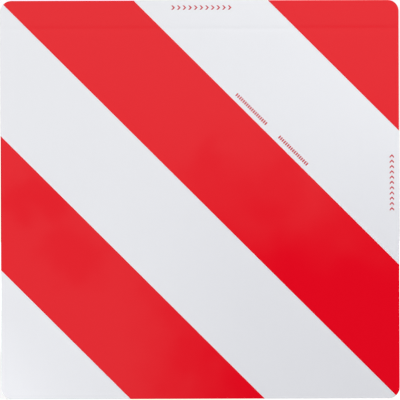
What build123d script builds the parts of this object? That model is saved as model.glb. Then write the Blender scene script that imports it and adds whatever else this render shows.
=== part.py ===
from build123d import *
import os
from math import ceil, cos, floor, radians, sin

# Rear marker board for a parked vehicle or trailer: a square composite panel with rounded corners,
# faced with white reflective film that carries slanting red stripes.
# The board stands upright with its face towards -Y, X to the right of someone who looks at the face,
# and Z up. The origin is the centre of the rear face.

# Driving dimensions, in millimetres and degrees
board_side = 423.0
corner_radius = 12.0

# Composite panel: two metal skins bonded to a plastic core
rear_skin_thickness = 0.3
core_thickness = 2.4
front_skin_thickness = 0.3
edge_break = 0.1

# Reflective film, cut together with the panel and ending where its edge is broken
film_setback = 0.1
adhesive_thickness = 0.08
film_thickness = 0.18

# Red stripes of clear coloured film on the white film, as wide as the white ones between them; the width
# is square to the stripe, the slope is how steeply a stripe runs down to the right, and the shift is how far
# the lower side of the middle stripe lies above the centre of the board
stripe_width = 100.7
stripe_slope = 45.0
stripe_shift = -0.6
stripe_thickness = 0.1

# Height of each layer's rear side above the rear face of the board
core_level = rear_skin_thickness
front_skin_level = core_level + core_thickness
adhesive_level = front_skin_level + front_skin_thickness
film_level = adhesive_level + adhesive_thickness
stripe_level = film_level + film_thickness

# Outline of the film, and how far it reaches from the centre square to the stripes
film_side = board_side - 2 * film_setback
film_radius = corner_radius - film_setback
across_x = sin(radians(stripe_slope))
across_z = cos(radians(stripe_slope))
film_reach = (film_side / 2 - film_radius) * (across_x + across_z) + film_radius

# The red stripes repeat in steps of two widths above and below the middle one, as far as the film reaches
stripe_step = 2 * stripe_width
first_stripe = floor((-film_reach - stripe_shift - stripe_width) / stripe_step) + 1
last_stripe = ceil((film_reach - stripe_shift) / stripe_step) - 1
stripe_length = 2 * film_side


def layer_plane(level):
    """Plane parallel to the rear face, with its normal towards the viewer of the board."""
    return Plane.XZ.offset(level)


def panel_outline():
    """Rounded square that the skins and the core share."""
    RectangleRounded(board_side, board_side, corner_radius)


def film_outline():
    """Rounded square that the adhesive, the film and the stripes share."""
    RectangleRounded(film_side, film_side, film_radius)


def stripe_name(step):
    """Name of the stripe that lies a number of steps above (or, if negative, below) the middle one."""
    if step == 0:
        return "red_stripe_middle"
    side = "upper" if step > 0 else "lower"
    return f"red_stripe_{side}_{abs(step)}"


def save(piece, name):
    """Label a finished piece and write it under its own name."""
    piece.part.label = name
    export_step(piece.part, f"parts/{name}.step")


os.makedirs("parts", exist_ok=True)

# Rear skin, with the burr taken off its outer edge
with BuildPart() as rear_skin:
    with BuildSketch(layer_plane(0)):
        panel_outline()
    extrude(amount=rear_skin_thickness)
    chamfer(rear_skin.faces().sort_by(Axis.Y)[-1].edges(), edge_break)
save(rear_skin, "rear_skin")

# Plastic core that keeps the skins apart
with BuildPart() as panel_core:
    with BuildSketch(layer_plane(core_level)):
        panel_outline()
    extrude(amount=core_thickness)
save(panel_core, "panel_core")

# Front skin, with the burr taken off its outer edge
with BuildPart() as front_skin:
    with BuildSketch(layer_plane(front_skin_level)):
        panel_outline()
    extrude(amount=front_skin_thickness)
    chamfer(front_skin.faces().sort_by(Axis.Y)[0].edges(), edge_break)
save(front_skin, "front_skin")

# Adhesive coat on the back of the film
with BuildPart() as film_adhesive:
    with BuildSketch(layer_plane(adhesive_level)):
        film_outline()
    extrude(amount=adhesive_thickness)
save(film_adhesive, "film_adhesive")

# White reflective film over the whole face
with BuildPart() as white_film:
    with BuildSketch(layer_plane(film_level)):
        film_outline()
    extrude(amount=film_thickness)
save(white_film, "white_film")

# Red stripes, each trimmed to the film and named by its place above or below the middle one
for step in range(first_stripe, last_stripe + 1):
    stripe_centre = stripe_shift + step * stripe_step + stripe_width / 2
    with BuildPart() as red_stripe:
        with BuildSketch(layer_plane(stripe_level)):
            film_outline()
            with Locations((stripe_centre * across_x, stripe_centre * across_z)):
                Rectangle(stripe_width, stripe_length, rotation=90 - stripe_slope, mode=Mode.INTERSECT)
        extrude(amount=stripe_thickness)
    save(red_stripe, stripe_name(step))
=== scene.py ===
# %% [markdown]
# # A rear marker board for a parked vehicle
# The real board is a square composite panel, 423 mm wide and about 3 mm thick. Its face carries white
# reflective film with slanting red stripes, so that headlamps find a parked vehicle in the dark.
# The packed model gives every solid at its true place, in metres: the face looks towards -Y, X runs to
# the right of someone who looks at it, and Z is up. This lesson keeps those places and adds the looks:
# the faint relief of the film, the small printed marks, a finish for each surface, and a studio.

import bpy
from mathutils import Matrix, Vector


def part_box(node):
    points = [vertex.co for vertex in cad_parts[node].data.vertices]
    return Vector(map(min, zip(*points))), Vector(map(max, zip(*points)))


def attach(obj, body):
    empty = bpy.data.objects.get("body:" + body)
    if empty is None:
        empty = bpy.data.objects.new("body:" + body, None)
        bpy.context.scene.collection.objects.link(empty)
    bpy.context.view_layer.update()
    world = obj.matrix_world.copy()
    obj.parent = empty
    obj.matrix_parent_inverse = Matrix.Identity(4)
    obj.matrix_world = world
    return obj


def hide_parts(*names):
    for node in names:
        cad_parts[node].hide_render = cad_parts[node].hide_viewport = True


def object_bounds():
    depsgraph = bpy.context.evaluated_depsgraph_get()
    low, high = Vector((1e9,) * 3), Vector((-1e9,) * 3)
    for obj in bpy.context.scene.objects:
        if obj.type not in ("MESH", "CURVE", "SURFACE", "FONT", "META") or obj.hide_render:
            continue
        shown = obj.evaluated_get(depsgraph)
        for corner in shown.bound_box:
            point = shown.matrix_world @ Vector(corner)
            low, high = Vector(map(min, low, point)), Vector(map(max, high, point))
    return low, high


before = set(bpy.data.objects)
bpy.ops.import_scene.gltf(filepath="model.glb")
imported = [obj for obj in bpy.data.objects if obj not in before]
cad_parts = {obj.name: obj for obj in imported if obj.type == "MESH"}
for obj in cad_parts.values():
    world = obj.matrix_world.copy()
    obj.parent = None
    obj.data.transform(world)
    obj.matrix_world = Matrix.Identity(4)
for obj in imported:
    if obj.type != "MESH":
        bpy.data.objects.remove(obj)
cad_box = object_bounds()
print("nodes:", ", ".join(sorted(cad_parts)))

# %% [markdown]
# ## Tools and units
# A drawing of the board is in millimetres, and Blender counts in metres. So a size below is a number of
# millimetres times MM, which can be checked with a ruler on the real thing. Nothing on the board moves, so
# all of it belongs to one body.

# %% Tools and units
import math

import bmesh
import bpy
from mathutils import Vector

MM = 0.001
BODY = "root"
board_half = cad_box[1].x
print(f"board {2 * board_half / MM:.0f} mm wide, on the body {BODY}")

# %% [markdown]
# ## Measures that the pieces share
# Sizes could be typed in again here, but a piece that is measured from the frame stays right when the
# solids change. The film's box gives its half width and the height of its front. The corners of the middle
# red stripe give the slanting edge that two rows of marks follow. The direction across the stripes points
# to the upper right.

# %% Measure the film and the middle stripe
film_low, film_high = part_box("white_film")
film_half = film_high.x
film_front = film_low.y
stripe_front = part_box("red_stripe_middle")[0].y
corner_radius = 12 * MM
across_stripes = Vector((1, 0, 1)).normalized()
along_stripes = Vector((1, 0, -1)).normalized()
stripe_points = [vertex.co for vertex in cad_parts["red_stripe_middle"].data.vertices]
stripe_upper_edge = max(point.dot(across_stripes) for point in stripe_points)
print(f"film {2 * film_half / MM:.1f} mm wide, its front {-film_front / MM:.2f} mm above the rear face")
print(f"upper edge of the middle stripe {stripe_upper_edge / MM:.1f} mm from the centre")

# %% [markdown]
# ## The relief of the film
# Film that is rolled onto a panel is never quite flat. About 30 mm below the upper edge a fine line runs
# across the whole board, where the roller stopped and started again, and the rest swells by a few
# hundredths of a millimetre. A bump in the material could fake this, but then the mesh would be flat.
# Here one function gives the relief for any point of the face, and every layer on the face follows it,
# so the red stripes and the prints stay seated on the white film.

# %% Relief as a function of the place on the face
line_height = board_half - 30.4 * MM
line_reach = 2.8 * MM
line_depth = 0.12 * MM
swells = (
    # height, wave length along X, wave length along Z, phase
    (0.012 * MM, 260 * MM, 170 * MM, 0.4),
    (0.008 * MM, 140 * MM, -210 * MM, 2.1),
    (0.005 * MM, -90 * MM, 75 * MM, 4.4),
)


def film_relief(x, z):
    """How far the film stands out of its flat plane at a place on the face, in metres."""
    groove = -line_depth * math.exp(-(((z - line_height) / line_reach) ** 2))
    waves = sum(
        height * math.sin(2 * math.pi * (x / length_x + z / length_z) + phase)
        for height, length_x, length_z, phase in swells
    )
    return groove + waves


print(f"relief at the line {film_relief(0, line_height) / MM:.3f} mm")

# %% [markdown]
# ## Cut a film layer finely
# The packed film is a flat slab of a few large triangles, too coarse to bend. A subdivision modifier would
# divide it, but also soften its rounded corners. So a layer is copied, its triangles are merged back into
# plain faces, and straight cuts divide it: even cuts both ways, and close rows over the line, where the
# surface turns quickly.

# %% Cuts through a copy of a film layer
even_cut = 9 * MM
fine_cut = 0.65 * MM
fine_rows = 11
merge_distance = 0.001 * MM
flat_angle = math.radians(1)


def even_steps(low, high, step):
    """Places between two ends, as evenly spaced as the step allows, without the ends."""
    count = max(1, round((high - low) / step))
    return [low + (high - low) * i / count for i in range(1, count)]


def cut_across(mesh, place, normal):
    """Cut all faces of a mesh where it crosses a plane."""
    everything = mesh.verts[:] + mesh.edges[:] + mesh.faces[:]
    bmesh.ops.bisect_plane(mesh, geom=everything, plane_co=place, plane_no=normal, dist=merge_distance)


def finely_cut(node_name):
    """A copy of a film layer, divided by cuts both ways and by close rows over the line."""
    mesh = bmesh.new()
    mesh.from_mesh(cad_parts[node_name].data)
    bmesh.ops.remove_doubles(mesh, verts=mesh.verts, dist=merge_distance)
    bmesh.ops.dissolve_limit(mesh, angle_limit=flat_angle, verts=mesh.verts, edges=mesh.edges)
    low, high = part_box(node_name)
    for x in even_steps(low.x, high.x, even_cut):
        cut_across(mesh, (x, 0, 0), (1, 0, 0))
    for z in even_steps(low.z, high.z, even_cut):
        cut_across(mesh, (0, 0, z), (0, 0, 1))
    for row in range(-fine_rows, fine_rows + 1):
        cut_across(mesh, (0, 0, line_height + row * fine_cut), (0, 0, 1))
    return mesh


print(f"cuts every {even_cut / MM:.0f} mm, and {2 * fine_rows + 1} close rows over the line")

# %% [markdown]
# ## Bend the film sheets
# A displace modifier would push a whole slab. Here each point is moved by itself: on the white film only
# the front moves, because its back stays bonded to the panel, and a red stripe moves whole, because it lies
# on film that has moved already. The faces are shaded smoothly, apart from the edges of the slab.

# %% Sheets of white and red film
sharp_angle = math.radians(30)


def film_sheet(node_name, piece_name, front_only):
    """A film layer that follows the relief, with its front alone or as a whole."""
    mesh = finely_cut(node_name)
    low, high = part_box(node_name)
    middle = (low.y + high.y) / 2
    for vertex in mesh.verts:
        if not front_only or vertex.co.y < middle:
            vertex.co.y -= film_relief(vertex.co.x, vertex.co.z)
    data = bpy.data.meshes.new(piece_name)
    mesh.to_mesh(data)
    mesh.free()
    data.polygons.foreach_set("use_smooth", [True] * len(data.polygons))
    data.set_sharp_from_angle(angle=sharp_angle)
    piece = bpy.data.objects.new(piece_name, data)
    bpy.context.scene.collection.objects.link(piece)
    return piece


white_sheet = film_sheet("white_film", "white_film_sheet", front_only=True)
stripe_nodes = sorted(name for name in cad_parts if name.startswith("red_stripe"))
red_sheets = {name: film_sheet(name, name + "_sheet", front_only=False) for name in stripe_nodes}
for sheet in (white_sheet, *red_sheets.values()):
    print(sheet.name, "has", len(sheet.data.polygons), "faces")

# %% [markdown]
# ## Printed marks
# Small red marks are printed on the white film: a row at the middle of the upper edge, one on the right
# edge, and two short rows beside the middle red stripe. Chevrons show which way the stripes point when
# that edge is on top, and the slanting rows are plain ticks. They could be painted by the film's material,
# but ink of its own keeps a clean edge up close. A row of equal marks is a job for Geometry Nodes: the mesh
# holds one mark, and a tree repeats it along a line with a count and a step as inputs. The tree ends with
# real geometry and its material, because the export has no use for instances.

# %% A node tree that repeats a mark along a line
def row_tree():
    """Geometry Nodes that repeat the incoming mark, with named inputs for count, step and material."""
    tree = bpy.data.node_groups.new("row_of_marks", "GeometryNodeTree")
    tree.interface.new_socket("Mark", in_out="INPUT", socket_type="NodeSocketGeometry")
    tree.interface.new_socket("Count", in_out="INPUT", socket_type="NodeSocketInt")
    tree.interface.new_socket("Step", in_out="INPUT", socket_type="NodeSocketVector")
    tree.interface.new_socket("Ink", in_out="INPUT", socket_type="NodeSocketMaterial")
    tree.interface.new_socket("Row", in_out="OUTPUT", socket_type="NodeSocketGeometry")
    given = tree.nodes.new("NodeGroupInput")
    line = tree.nodes.new("GeometryNodeMeshLine")
    copies = tree.nodes.new("GeometryNodeInstanceOnPoints")
    real = tree.nodes.new("GeometryNodeRealizeInstances")
    inked = tree.nodes.new("GeometryNodeSetMaterial")
    result = tree.nodes.new("NodeGroupOutput")
    tree.links.new(given.outputs["Count"], line.inputs["Count"])
    tree.links.new(given.outputs["Step"], line.inputs["Offset"])
    tree.links.new(line.outputs["Mesh"], copies.inputs["Points"])
    tree.links.new(given.outputs["Mark"], copies.inputs["Instance"])
    tree.links.new(copies.outputs["Instances"], real.inputs["Geometry"])
    tree.links.new(real.outputs["Geometry"], inked.inputs["Geometry"])
    tree.links.new(given.outputs["Ink"], inked.inputs["Material"])
    tree.links.new(inked.outputs["Geometry"], result.inputs["Row"])
    return tree


marks_tree = row_tree()
row_sockets = marks_tree.interface.items_tree
inputs_of_row = {item.name: item.identifier for item in row_sockets if item.in_out == "INPUT"}
print("row inputs:", inputs_of_row)

# %% [markdown]
# ## The outlines of the marks
# A chevron is two strokes that meet in a point, and a tick is a short bar with round ends. Both are drawn
# in the plane of the face as seen from the front, with the first axis along the row, and then raised by
# the thickness of the ink. A font would have such signs too, but these few points need no font file.

# %% Outlines of one chevron and one tick
ink_thickness = 0.015 * MM
round_end_points = 5


def chevron(width, height, stroke):
    """Outline of a chevron that points along the row."""
    half = height / 2
    back, front = -width / 2, width / 2
    lower_stroke = [(back, -half), (back + stroke, -half), (front, 0)]
    upper_stroke = [(back + stroke, half), (back, half), (front - stroke, 0)]
    return lower_stroke + upper_stroke


def tick(width, height):
    """Outline of an upright bar with round ends."""
    radius = width / 2
    reach = height / 2 - radius
    angles = [math.pi * i / (round_end_points - 1) for i in range(round_end_points)]
    top = [(radius * math.cos(angle), reach + radius * math.sin(angle)) for angle in angles]
    return top + [(-x, -y) for x, y in top]


def raised(outline, start, along, up):
    """Mesh of an outline on the film, raised by the ink, with the row starting at a place on the face."""
    mesh = bmesh.new()
    corners = [mesh.verts.new(start + along * a + up * b) for a, b in outline]
    mesh.faces.new(corners)
    raise_by = Vector((0, -ink_thickness, 0))
    made = bmesh.ops.extrude_face_region(mesh, geom=mesh.faces[:])["geom"]
    for vertex in (item for item in made if isinstance(item, bmesh.types.BMVert)):
        vertex.co += raise_by
    bmesh.ops.recalc_face_normals(mesh, faces=mesh.faces)
    return mesh


direction_mark = chevron(4.1 * MM, 4.6 * MM, 1.8 * MM)
slanting_mark = tick(1.5 * MM, 4.0 * MM)
print("chevron corners:", len(direction_mark), " tick corners:", len(slanting_mark))

# %% [markdown]
# ## Finishes: a small language for shader nodes
# Every finish on this board is a node material. Writing `1 - mask * 0.2` reads better than linking two Math
# nodes by hand, so a `Shade` wraps one output of a node and turns Python operators into Math nodes. A few
# named methods stand for the nodes that have no operator of their own.

# %% A shade: one output of a node
class Shade:
    """One output of a shader node. Arithmetic on it adds Math nodes to the same tree."""

    def __init__(self, finish, socket):
        self.finish = finish
        self.socket = socket

    def __add__(self, other):
        return self.finish.math("ADD", self, other)

    def __radd__(self, other):
        return self.finish.math("ADD", other, self)

    def __sub__(self, other):
        return self.finish.math("SUBTRACT", self, other)

    def __rsub__(self, other):
        return self.finish.math("SUBTRACT", other, self)

    def __mul__(self, other):
        return self.finish.math("MULTIPLY", self, other)

    def __rmul__(self, other):
        return self.finish.math("MULTIPLY", other, self)

    def __truediv__(self, other):
        return self.finish.math("DIVIDE", self, other)

    def __rtruediv__(self, other):
        return self.finish.math("DIVIDE", other, self)

    def __abs__(self):
        return self.finish.math("ABSOLUTE", self)

    def root(self):
        """The square root."""
        return self.finish.math("SQRT", self)

    def at_least(self, other):
        """This value, or the other where that is larger."""
        return self.finish.math("MAXIMUM", self, other)

    def at_most(self, other):
        """This value, or the other where that is smaller."""
        return self.finish.math("MINIMUM", self, other)

    def ramp(self, start, end):
        """0 up to the start, 1 from the end on, a smooth rise between; the end may lie below the start."""
        sockets = {"Value": self, "From Min": start, "From Max": end}
        return self.finish.node("ShaderNodeMapRange", {"interpolation_type": "SMOOTHSTEP"}, sockets)


print("named methods of a shade:", ", ".join(name for name in vars(Shade) if not name.startswith("_")))

# %% [markdown]
# ## A finish: the tree under construction
# A `Finish` holds the node tree that shades belong to. Its one method `node` adds any kind of node: first
# the settings, because they decide which sockets there are, then a number, a colour or a link for each
# socket. The other methods only give plain names to the few nodes that the board needs again and again.

# %% A finish: the tree that holds the nodes
class Finish:
    """A node tree under construction: that of a material, or the world's."""

    def __init__(self, tree):
        self.tree = tree

    def node(self, kind, settings=None, sockets=None, out=0):
        """Add a node: settings first, then a value or a link for each socket. Returns one output."""
        made = self.tree.nodes.new(kind)
        for name, value in (settings or {}).items():
            setattr(made, name, value)
        for key, value in (sockets or {}).items():
            if isinstance(value, Shade):
                self.tree.links.new(value.socket, made.inputs[key])
            else:
                made.inputs[key].default_value = value
        return Shade(self, made.outputs[out]) if len(made.outputs) else None

    def math(self, operation, *values):
        """A Math node on shades and numbers."""
        return self.node("ShaderNodeMath", {"operation": operation}, dict(enumerate(values)))

    def place(self):
        """Place on the piece, in metres."""
        return self.node("ShaderNodeTexCoord", out="Object")

    def axes(self, vector):
        """The three numbers of a vector."""
        split = self.node("ShaderNodeSeparateXYZ", None, {"Vector": vector}).socket.node
        return [Shade(self, output) for output in split.outputs]

    def cloud(self, vector, size, detail=3.0):
        """Soft noise from 0 to 1, with spots of about the given size."""
        return self.node("ShaderNodeTexNoise", None, {"Vector": vector, "Scale": 1 / size, "Detail": detail})

    def streaks(self, vector, size, detail=3.0, turn=(0, 0, 0)):
        """Soft noise that is turned, and drawn out to a size along each of its own axes."""
        mapping = {"Vector": vector, "Rotation": turn, "Scale": size}
        drawn_out = self.node("ShaderNodeMapping", {"vector_type": "TEXTURE"}, mapping)
        return self.cloud(drawn_out, 1.0, detail)

    def blend(self, amount, first, second):
        """A colour between two colours."""
        settings = {"data_type": "RGBA"}
        return self.node("ShaderNodeMix", settings, {"Factor": amount, 6: first, 7: second}, out=2)

    def bump(self, height, distance):
        """A surface direction that follows a height given in units of the distance."""
        return self.node("ShaderNodeBump", None, {"Height": height, "Distance": distance, "Strength": 1.0})


print("methods of a finish:", ", ".join(name for name in vars(Finish) if not name.startswith("_")))

# %% [markdown]
# ## The two ends of a material
# A new material comes with nodes of its own, which are cleared so that nothing is left in it by chance. It
# ends in one Principled surface, which can be white film, bare metal or plastic by its numbers alone. How
# many nodes a finish took is printed, as a check that its patterns are there.

# %% Begin and end a material
def material_finish(name):
    """A new material and the finish that fills its tree."""
    material = bpy.data.materials.new(name)
    material.use_nodes = True
    material.node_tree.nodes.clear()
    return material, Finish(material.node_tree)


def surface(material, finish, sockets):
    """End a material in a Principled surface with the given sockets."""
    shader = finish.node("ShaderNodeBsdfPrincipled", None, sockets)
    finish.node("ShaderNodeOutputMaterial", None, {"Surface": shader})
    print(material.name, "takes", len(finish.tree.nodes), "nodes")
    return material


print("materials before the first finish:", len(bpy.data.materials))

# %% [markdown]
# ## How far a place lies from the rim
# Dust, cut edges and handling show near the rim of a board, so several finishes need the distance to
# the rounded outline. It could be painted into a mask, but for a rounded square a short formula gives it:
# along the sides the distance to the nearest side, and in the corners that to the corner's arc.

# %% Distance to the rounded outline
def rim_distance(finish, half, radius):
    """Distance from the rounded outline of the board, growing inwards from 0, in metres."""
    x, _, z = finish.axes(finish.place())
    past_x = abs(x) - (half - radius)
    past_z = abs(z) - (half - radius)
    corner_x = past_x.at_least(0)
    corner_z = past_z.at_least(0)
    round_part = (corner_x * corner_x + corner_z * corner_z).root()
    straight_part = past_x.at_least(past_z).at_most(0)
    return radius - round_part - straight_part


print(f"rim: sides {2 * film_half / MM:.1f} mm apart, corners of {corner_radius / MM:.0f} mm")

# %% [markdown]
# ## What both films share
# The white and the red film have the same build: a bed of tiny glass beads under a smooth clear coat. The
# beads give a grain that only shows close up, the coating machine leaves faint streaks, the cut rim is a
# little dull, and the coat has a very slight orange peel. One function makes these patterns for both, so
# that they run on from one colour into the other as they do on the real sheet.

# %% Patterns and coat of the reflective films
bead_size = 0.4 * MM
coating_streak = (6 * MM, 6 * MM, 330 * MM)
orange_peel_size = 4.76 * MM
coat_relief = 0.002 * MM
gloss_coat = {
    "Specular IOR Level": 0.0,
    "Coat Weight": 1.0,
    "Coat Roughness": 0.035,
    "Coat IOR": 1.5,
}


def film_patterns(finish, rim_width):
    """Bead grain, coating streaks, dull rim and surface direction of a reflective film."""
    place = finish.place()
    grain = finish.cloud(place, bead_size, detail=2.0).ramp(0.3, 0.7)
    streaks = finish.streaks(place, coating_streak)
    rim = 1 - rim_distance(finish, film_half, corner_radius).ramp(0, rim_width)
    orange_peel = finish.cloud(place, orange_peel_size, detail=1.0)
    direction = finish.bump(0.6 * orange_peel + 0.25 * grain, coat_relief)
    return grain, streaks, rim, direction


print(f"beads of {bead_size / MM:.1f} mm under a coat with index {gloss_coat['Coat IOR']}")

# %% [markdown]
# ## White reflective film
# A plain white would look like paint. On this film a mirror layer lies behind the beads, so it is partly
# diffuse and partly metallic, and turns a little greyer where its surroundings are dark. The clear coat on
# top gives the sharp, weak reflections. Soft mottling breaks up the large white areas.

# %% White film finish
white_colour = (0.872, 0.880, 0.932, 1)
white_shadow = (0.757, 0.764, 0.810, 1)
white_mirror_share = 0.26
white_rim = 1.6 * MM
mottle_size = 62.5 * MM


def white_film_finish():
    """Glass-bead film: partly metallic, with grain, streaks, soft mottling and a clear coat."""
    material, finish = material_finish("white_bead_film")
    grain, streaks, rim, direction = film_patterns(finish, white_rim)
    mottle = finish.cloud(finish.place(), mottle_size)
    # Shares of grey from each pattern; the last number keeps most of the film clean
    greyness = 0.3 * grain + 0.10 * streaks + 0.12 * mottle + 0.35 * rim - 0.25
    return surface(material, finish, {
        "Base Color": finish.blend(greyness.at_least(0), white_colour, white_shadow),
        "Metallic": white_mirror_share,
        "Roughness": 0.27 + 0.08 * mottle + 0.06 * grain,
        "Normal": direction,
        **gloss_coat,
    })


white_finish = white_film_finish()

# %% [markdown]
# ## Clear red film
# The stripes are a clear red layer on the same film. Two see-through layers would be true to that, but
# light through them takes long to render and doesn't survive an export, so the red is a deep opaque
# colour under the same coat. It swallows green and blue almost fully: what little of them shows is the
# reflection in the coat. The depth of colour wavers slightly with the thickness of the layer.

# %% Red film finish
red_colour = (0.80, 0.003, 0.0145, 1)
red_deep = (0.70, 0.002, 0.010, 1)
red_rim = 1.4 * MM
density_size = 45.5 * MM


def red_film_finish():
    """Clear red layer: an even saturated body under the same gloss coat as the white."""
    material, finish = material_finish("clear_red_film")
    grain, streaks, rim, direction = film_patterns(finish, red_rim)
    density = finish.cloud(finish.place(), density_size)
    # Shares of depth from each pattern; the last number keeps most of the red bright
    depth = 0.25 * grain + 0.14 * density + 0.1 * streaks + 0.3 * rim - 0.22
    return surface(material, finish, {
        "Base Color": finish.blend(depth.at_least(0), red_colour, red_deep),
        "Roughness": 0.42 + 0.1 * density,
        "Normal": direction,
        **gloss_coat,
    })


red_finish = red_film_finish()

# %% [markdown]
# ## Printing ink
# The marks are printed with a thin opaque red ink. Screen print is slightly uneven, with small spots where
# the ink is thinner and duller. One flat red would look like a sticker, so a fine noise mixes two reds. The
# ink is less glossy than the film.

# %% Ink finish
ink_colour = (0.52, 0.006, 0.032, 1)
ink_thin = (0.66, 0.10, 0.13, 1)
ink_spot_size = 0.526 * MM
thin_share = 0.35


def ink_finish():
    """Opaque red ink with small thin spots."""
    material, finish = material_finish("printed_red_ink")
    spots = finish.cloud(finish.place(), ink_spot_size, detail=2.0).ramp(0.58, 0.75)
    return surface(material, finish, {
        "Base Color": finish.blend(spots * thin_share, ink_colour, ink_thin),
        "Roughness": 0.34 + 0.12 * spots,
        "Coat Weight": 0.6,
        "Coat Roughness": 0.08,
    })


red_ink = ink_finish()

# %% [markdown]
# ## Mill-finish aluminium
# The skins are plain rolled aluminium. Rolling leaves fine parallel lines, a slight haze and soft bands,
# and handling leaves smudges and a few hairline scratches. All of them mostly change how sharply the metal
# reflects, so they drive the roughness and a very small bump more than the colour. Each is a noise that is
# drawn out along the board, which needs no picture of real metal. The broken edge of the skin is brighter
# than the rest.

# %% Aluminium finish
aluminium_colour = (0.84, 0.845, 0.85, 1)
aluminium_dull = (0.58, 0.585, 0.60, 1)
rolling_grain = (0.35 * MM, 3 * MM, 40 * MM)
rolling_lines = (1.3 * MM, 12 * MM, 380 * MM)
haze_bands = (24 * MM, 200 * MM, 700 * MM)
smudge_size = 91 * MM
rubbed_scratch = (1.0 * MM, 90 * MM, 130 * MM)
rubbed_turn = (0, 0.5, 0)
dragged_scratch = (1.2 * MM, 90 * MM, 100 * MM)
dragged_turn = (0, -1.1, 0)
bright_edge = 0.5 * MM
metal_relief = 0.004 * MM


def aluminium_finish():
    """Rolled aluminium with grain along Z, haze bands, smudges and hairline scratches."""
    material, finish = material_finish("mill_aluminium")
    place = finish.place()
    grain = finish.streaks(place, rolling_grain)
    lines = finish.streaks(place, rolling_lines, detail=5.0)
    bands = finish.streaks(place, haze_bands)
    smudges = finish.cloud(place, smudge_size, detail=4.0).ramp(0.50, 0.72)
    rubbed = finish.streaks(place, rubbed_scratch, detail=0.0, turn=rubbed_turn)
    dragged = finish.streaks(place, dragged_scratch, detail=0.0, turn=dragged_turn)
    scratches = rubbed.at_least(dragged).ramp(0.77, 0.82)
    rim = 1 - rim_distance(finish, board_half, corner_radius).ramp(0, bright_edge)
    # Shares of dullness and haze: rolling and smudges add to them, scratches and the rim take away
    rolled = 0.45 * grain + 0.4 * lines.ramp(0.35, 0.68) + 0.4 * bands - 0.4
    dullness = rolled + 0.3 * smudges - 0.3 * scratches - 0.5 * rim
    haze = 0.20 + 0.08 * grain + 0.14 * lines + 0.10 * bands
    return surface(material, finish, {
        "Base Color": finish.blend(dullness.at_least(0), aluminium_colour, aluminium_dull),
        "Metallic": 1.0,
        "Roughness": haze + 0.10 * smudges - 0.08 * scratches,
        "Normal": finish.bump(0.5 * grain - 0.6 * scratches, metal_relief),
    })


aluminium = aluminium_finish()

# %% [markdown]
# ## Black core and adhesive
# On the cut edge the core shows as a black line between the skins. The cutter leaves fine ridges through
# its thickness, which a noise drawn out along Y gives, and the plastic is whitened on their crests. The
# adhesive is a thin milky seam under the film that has caught some dust. Real ridges would be too many
# faces for an edge of 2.4 mm, so here a bump does the work.

# %% Core and adhesive finishes
core_colour = (0.018, 0.018, 0.02, 1)
core_whitened = (0.09, 0.09, 0.095, 1)
cutter_ridges = (0.4 * MM, 16 * MM, 0.4 * MM)
ridge_height = 0.03 * MM
chalk_size = 16.7 * MM
adhesive_colour = (0.74, 0.73, 0.69, 1)
adhesive_dusty = (0.55, 0.54, 0.50, 1)
dust_size = 11.1 * MM


def core_finish():
    """Black plastic with the ridges of the cutter along its edge."""
    material, finish = material_finish("black_core")
    ridges = finish.streaks(finish.place(), cutter_ridges, detail=2.0)
    chalk = finish.cloud(finish.place(), chalk_size)
    whitened = 0.5 * ridges.ramp(0.55, 0.8) + 0.25 * chalk
    return surface(material, finish, {
        "Base Color": finish.blend(whitened, core_colour, core_whitened),
        "Roughness": 0.55 + 0.2 * ridges,
        "Normal": finish.bump(ridges, ridge_height),
    })


def adhesive_finish():
    """Milky clear adhesive, dustier in places."""
    material, finish = material_finish("film_adhesive")
    dust = finish.cloud(finish.place(), dust_size)
    return surface(material, finish, {
        "Base Color": finish.blend(dust, adhesive_colour, adhesive_dusty),
        "Roughness": 0.4 + 0.2 * dust,
    })


black_core = core_finish()
clear_adhesive = adhesive_finish()

# %% [markdown]
# ## Put the finishes on
# The skins, the core and the adhesive keep their packed shape and only get a finish. The film sheets take
# the place of their flat nodes and ride on the same body.

# %% Dress the packed nodes and the sheets
plain_nodes = {
    "rear_skin": aluminium,
    "front_skin": aluminium,
    "panel_core": black_core,
    "film_adhesive": clear_adhesive,
}
for name, material in plain_nodes.items():
    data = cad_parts[name].data
    data.materials.clear()
    data.materials.append(material)


def stand_for(piece, slot, *nodes):
    """Give a piece its body and the packed nodes that it replaces; the slot is not used."""
    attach(piece, BODY)
    if nodes:
        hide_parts(*nodes)


white_sheet.data.materials.append(white_finish)
stand_for(white_sheet, "white_reflective_film", "white_film")
for name, sheet in red_sheets.items():
    sheet.data.materials.append(red_finish)
    stand_for(sheet, "red_stripe_film", name)
print("dressed nodes:", ", ".join(plain_nodes))
print("dressed sheets:", ", ".join([white_sheet.name, *(sheet.name for sheet in red_sheets.values())]))

# %% [markdown]
# ## A row of marks as a plain mesh
# Each row gets its own object, and its one mark is drawn at the start of the row. The step and the count go
# into the modifier by the identifiers of its sockets before anything is evaluated. The evaluated result
# becomes a plain mesh, the modifier goes, and the points follow the relief of the film so that the ink
# lies on it.

# %% Print one row
def printed_row(name, outline, centre, along, across, count, step):
    """A row of equal marks, centred on a place, as one plain mesh of ink on the film."""
    mesh = raised(outline, centre - along * (step * (count - 1) / 2), along, across)
    one_mark = bpy.data.meshes.new(name + "_first")
    mesh.to_mesh(one_mark)
    mesh.free()
    piece = bpy.data.objects.new(name, one_mark)
    bpy.context.scene.collection.objects.link(piece)
    row = piece.modifiers.new("row", "NODES")
    row.node_group = marks_tree
    row[inputs_of_row["Count"]] = count
    row[inputs_of_row["Step"]] = along * step
    row[inputs_of_row["Ink"]] = red_ink
    evaluated = piece.evaluated_get(bpy.context.evaluated_depsgraph_get())
    printed = bpy.data.meshes.new_from_object(evaluated)
    piece.modifiers.remove(row)
    piece.data = printed
    printed.name = name
    for vertex in printed.vertices:
        vertex.co.y -= film_relief(vertex.co.x, vertex.co.z)
    stand_for(piece, "red_stripe_film")
    return piece


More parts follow.
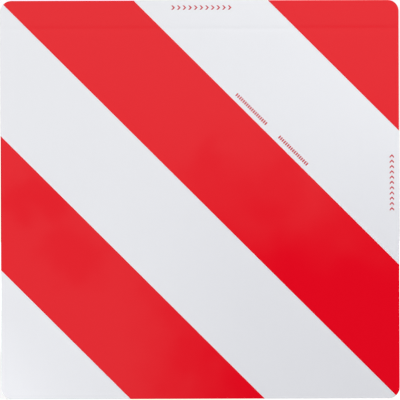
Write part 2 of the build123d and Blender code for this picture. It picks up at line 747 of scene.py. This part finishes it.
print(f"ink stands {ink_thickness / MM:.3f} mm above the film")

# %% [markdown]
# ## Where the rows go
# The two rows of chevrons are placed by millimetres from the centre of the face, because they belong to its
# edges. The two slanting rows are placed from the edge of the middle stripe, so that they keep their gap to
# it. On the right edge a chevron points up, so the row runs upwards and the mark lies on its side.

# %% Print the rows of marks
right, up = Vector((1, 0, 0)), Vector((0, 0, 1))
gap_to_stripe = 6.5 * MM
upper_row_offset = 29 * MM
lower_row_offset = 33.5 * MM
tick_step = 2.55 * MM


def on_face(x, z):
    """A place on the white film, from millimetres right of and above the centre."""
    return Vector((x * MM, film_front, z * MM))


beside_stripe = across_stripes * (stripe_upper_edge + gap_to_stripe) + Vector((0, film_front, 0))
upper_centre = beside_stripe - along_stripes * upper_row_offset
lower_centre = beside_stripe + along_stripes * lower_row_offset
row_plans = (
    # name, mark, centre, along the row, up the mark, count, step
    ("upper_edge_marks", direction_mark, on_face(2, 203.8), right, up, 11, 6.0 * MM),
    ("right_edge_marks", direction_mark, on_face(203.7, 17.5), up, -right, 11, 5.6 * MM),
    ("stripe_marks_upper", slanting_mark, upper_centre, along_stripes, across_stripes, 18, tick_step),
    ("stripe_marks_lower", slanting_mark, lower_centre, along_stripes, across_stripes, 17, tick_step),
)
for plan in row_plans:
    printed_piece = printed_row(*plan)
    print(printed_piece.name, "has", len(printed_piece.data.polygons), "faces")

# %% [markdown]
# ## Floor
# The board stands on a plain pale floor. For the camera the floor is lifted towards white, so that the
# picture has the clean ground of a catalogue, and it still takes the shadow of the board. Its own light is
# kept off the board: red light that the floor throws back would tint the lower part of the white.

# %% Pale floor
floor_half = 6.0
floor_colour = (0.84, 0.84, 0.84, 1)
floor_speckle = (0.81, 0.81, 0.81, 1)
speckle_size = 25 * MM
floor_lift = 0.45
floor_white = 1.6
floor_fade = (0.35, 2.0)


def floor_finish():
    """Pale matt floor, lifted towards white for the camera, and more so far from the board."""
    material, finish = material_finish("pale_floor")
    seen = finish.node("ShaderNodeLightPath", out="Is Camera Ray")
    x, y, _ = finish.axes(finish.place())
    far = (x * x + y * y).root().ramp(*floor_fade)
    lift = seen * (floor_lift + (1 - floor_lift) * far)
    speckle = finish.cloud(finish.place(), speckle_size)
    matt = finish.node("ShaderNodeBsdfPrincipled", None, {
        "Base Color": finish.blend(speckle, floor_colour, floor_speckle),
        "Roughness": 0.9,
        "Specular IOR Level": 0.0,
    })
    white = finish.node("ShaderNodeEmission", None, {"Color": (1, 1, 1, 1), "Strength": floor_white})
    mixed = finish.node("ShaderNodeMixShader", None, {0: lift, 1: matt, 2: white})
    finish.node("ShaderNodeOutputMaterial", None, {"Surface": mixed})
    return material


floor_mesh = bpy.data.meshes.new("floor")
floor_level = cad_box[0].z
floor_corners = [(-1, -1), (1, -1), (1, 1), (-1, 1)]
floor_points = [(x * floor_half, y * floor_half, floor_level) for x, y in floor_corners]
floor_mesh.from_pydata(floor_points, [], [(0, 1, 2, 3)])
floor_mesh.materials.append(floor_finish())
floor = bpy.data.objects.new("floor", floor_mesh)
bpy.context.scene.collection.objects.link(floor)
floor.visible_glossy = False
floor.visible_diffuse = False
print(f"floor at {floor_level:.4f} m")

# %% [markdown]
# ## Camera
# The picture is taken square to the face, from far enough away that the sides of the board stay parallel.
# The board nearly fills the frame and leans by a fraction of a degree. Its width in pixels and the distance
# give the focal length, and its centre in pixels gives the camera's place, so nothing is found by trial.

# %% Camera
picture_pixels = 400
board_pixels = 398.6
board_centre_pixels = (200.0, 199.6)
board_tilt = 0.0031
camera_distance = 1.6
metres_per_pixel = 2 * board_half / board_pixels

camera_data = bpy.data.cameras.new("camera")
camera_data.sensor_width = 36
camera_data.lens = camera_data.sensor_width * camera_distance / (picture_pixels * metres_per_pixel)
camera_data.clip_start = 0.05
camera_data.clip_end = 60
camera = bpy.data.objects.new("camera", camera_data)
camera.location = (
    (picture_pixels / 2 - board_centre_pixels[0]) * metres_per_pixel,
    stripe_front - camera_distance,
    (board_centre_pixels[1] - picture_pixels / 2) * metres_per_pixel,
)
camera.rotation_euler = (math.radians(90), board_tilt, 0)
bpy.context.scene.collection.objects.link(camera)
bpy.context.scene.camera = camera
print(f"focal length {camera_data.lens:.1f} mm")

# %% [markdown]
# ## Light
# One large soft lamp stands far in front, on the right and above. Its distance makes the light even over
# the whole face, and its height brings out the fine line in the film. A weak lamp low on the left lifts that
# corner, and one behind lights the floor there. A lamp would show in the gloss coat as a hard bright
# square, so all three are kept out of reflections, and the coat mirrors only the room of the next steps.

# %% Lamps
lamp_plans = (
    # name, place, target, size, power in watts
    ("right_lamp", (3.1, -3.9, 2.2), (0, 0, 0), 2.4, 287),
    ("lower_left_lamp", (-0.72, -0.66, -0.07), (-0.15, 0, -0.2), 0.26, 1.2),
    ("rear_lamp", (-0.9, 1.9, 1.6), (0, 0, 0), 1.2, 15.6),
)


def soft_lamp(name, place, target, size, power):
    """A square area lamp at a place, turned towards a target."""
    data = bpy.data.lights.new(name, "AREA")
    data.shape = "SQUARE"
    data.size = size
    data.energy = power
    lamp = bpy.data.objects.new(name, data)
    lamp.location = place
    lamp.rotation_euler = (Vector(target) - Vector(place)).to_track_quat("-Z", "Y").to_euler()
    bpy.context.scene.collection.objects.link(lamp)
    lamp.visible_glossy = False
    return lamp


lamps = [soft_lamp(*plan) for plan in lamp_plans]
print("lamps:", ", ".join(lamp.name for lamp in lamps))

# %% [markdown]
# ## The dim side of the room
# A gloss coat is a weak mirror, so what stands in front of it matters as much as the lamps. The room that
# it mirrors has a ragged dark corner low on the right, where the red shows at its purest, and a few dim
# shapes. Real furniture would do this too, but it would stand in the way of other views, so the room is
# painted into the world. A direction is given by its slopes: how far it goes to the right and up for each
# metre straight ahead of the board. Two noises break up the straight borders.

# %% Dim places of the room
wobble_size = 1 / 22
ragged_size = 1 / 75
# Slopes at which the dark corner begins, and at which it is full
dark_slopes_right = (-0.065, 0.035)
dark_slopes_up = (0.0625, -0.0625)
dim_shapes = (
    # place to the right and up, reach, dimness
    ((-0.105, 0.002), 0.028, 0.40),
    ((-0.084, -0.037), 0.032, 0.34),
    ((0.008, 0.020), 0.026, 0.36),
    ((0.046, -0.010), 0.030, 0.50),
)
dimmest_part = 0.3


def apart(right, up, place):
    """How far a direction lies from a place in the room, in slopes."""
    aside = right - place[0]
    above = up - place[1]
    return (aside * aside + above * above).root()


def dim_places(finish, way, right, up):
    """How dim the room is in a direction: a ragged dark corner low on the right, and some dim shapes."""
    wobble = finish.cloud(way, wobble_size, detail=2.0) - 0.5
    ragged = finish.cloud(way, ragged_size) - 0.5
    dark_right = right + 0.05 * wobble + 0.05 * ragged
    dark_up = up + 0.10 * wobble + 0.03 * ragged
    dim = dark_right.ramp(*dark_slopes_right) * dark_up.ramp(*dark_slopes_up)
    for place, reach, dimness in dim_shapes:
        distance = apart(right, up, place) + 0.03 * wobble + 0.05 * ragged
        dim = dim.at_least(dimness * distance.ramp(reach, dimmest_part * reach))
    return dim


print("dim shapes in the room:", len(dim_shapes))

# %% [markdown]
# ## The bright side of the room
# Two large glows stand at the lower left and on the right, just outside of what the sharp coat mirrors when
# the board is seen from the front. The white film reflects more softly and so picks them up: it is brighter
# at its lower left and upper right. A smaller glow reaches into the lower left corner of the face.

# %% Bright places of the room
low_left_glow = 4.0
right_glow = 4.2
corner_glow = 1.2
# Slopes at which a glow begins, and at which it is full
low_left_slopes_right = (-0.05, -0.15)
low_left_slopes_up = (-0.135, -0.19)
right_slopes_right = (0.135, 0.20)
right_slopes_up = (0.01, 0.13)
corner_place = (-0.16, -0.14)
corner_reach = (0.075, 0.03)
# How far ahead a direction points where the glows begin and are full; 1 is straight ahead
glow_ahead = (0.92, 0.97)


def bright_places(forward, right, up):
    """How much the room glows in a direction: at the lower left and on the right, ahead of the board."""
    low_left = low_left_glow * right.ramp(*low_left_slopes_right) * up.ramp(*low_left_slopes_up)
    on_right = right_glow * right.ramp(*right_slopes_right) * up.ramp(*right_slopes_up)
    corner = corner_glow * apart(right, up, corner_place).ramp(*corner_reach)
    return (low_left + on_right + corner) * forward.ramp(*glow_ahead)


print("glows of", low_left_glow, right_glow, "and", corner_glow, "times white")

# %% [markdown]
# ## The walls
# The wall ahead of the board is a warm white and brighter above. The wall behind it is brighter above and
# towards one side, so that the bare metal of the back isn't flat. The light is one number for each
# direction: the walls and the glows added up, less what is dim. A second number says how much of it has
# the warm colour of the wall, because the glows are a plain white.

# %% The room that reflections see
wall_light = 0.60
upper_light = 0.20
upper_slopes = (-0.02, 0.14)
back_top_light = 0.45
back_side_light = 0.25
back_dimming = 0.2
# Where along an axis of the direction the front and the back begin, and where they are full
front_range = (0.0, 0.15)
back_range = (-0.1, 0.4)
back_top_range = (-0.35, 0.75)
back_side_range = (0.7, -0.5)
flattest_way = 0.001


def mirrored_room(finish):
    """Light of the room in the direction of a ray, and how much of it has the colour of the wall."""
    way = finish.node("ShaderNodeTexCoord", out="Generated")
    x, y, z = finish.axes(way)
    forward = -1 * y
    right = x / forward.at_least(flattest_way)
    up = z / forward.at_least(flattest_way)
    in_front = forward.ramp(*front_range)
    dim = dim_places(finish, way, right, up)
    glow = bright_places(forward, right, up)
    back_top = back_top_light * z.ramp(*back_top_range)
    back_side = back_side_light * x.ramp(*back_side_range)
    back_wall = y.ramp(*back_range) * (back_top + back_side - back_dimming)
    wall = wall_light + upper_light * up.ramp(*upper_slopes) + glow + back_wall
    return wall * (1 - dim * in_front), in_front * (1 - glow).at_least(0)


print("wall light", wall_light, "and up to", wall_light + upper_light, "above")

# %% [markdown]
# ## The world's three answers
# Light Path tells which kind of ray asks the world for light. A ray from the camera, or one that has passed
# through something clear, finds plain white. Matt surfaces get an even light from all sides. Reflections
# get the room. A picture of a real room could answer too, but this one needs no file and can be tuned.

# %% World
room_light = 0.25
plain_white = (1, 1, 1, 1)
wall_colour = (1, 1, 0.91, 1)


def room_world():
    """White for the camera, even light for matt surfaces and a mirrored room for reflections."""
    world = bpy.data.worlds.new("room")
    world.use_nodes = True
    world.node_tree.nodes.clear()
    finish = Finish(world.node_tree)
    seen = finish.node("ShaderNodeLightPath", out="Is Camera Ray")
    clear = finish.node("ShaderNodeLightPath", out="Is Transmission Ray")
    glossy = finish.node("ShaderNodeLightPath", out="Is Glossy Ray")
    reflected, from_wall = mirrored_room(finish)
    level = glossy * (reflected - room_light) + room_light
    shown = seen.at_least(clear)
    strength = shown * (1 - level) + level
    colour = finish.blend(glossy * from_wall, plain_white, wall_colour)
    background = finish.node("ShaderNodeBackground", None, {"Color": colour, "Strength": strength})
    finish.node("ShaderNodeOutputWorld", None, {"Surface": background})
    return world


bpy.context.scene.world = room_world()
bpy.context.scene.view_settings.view_transform = "Standard"
print("the world takes", len(bpy.context.scene.world.node_tree.nodes), "nodes")

# %% [markdown]
# ## The end
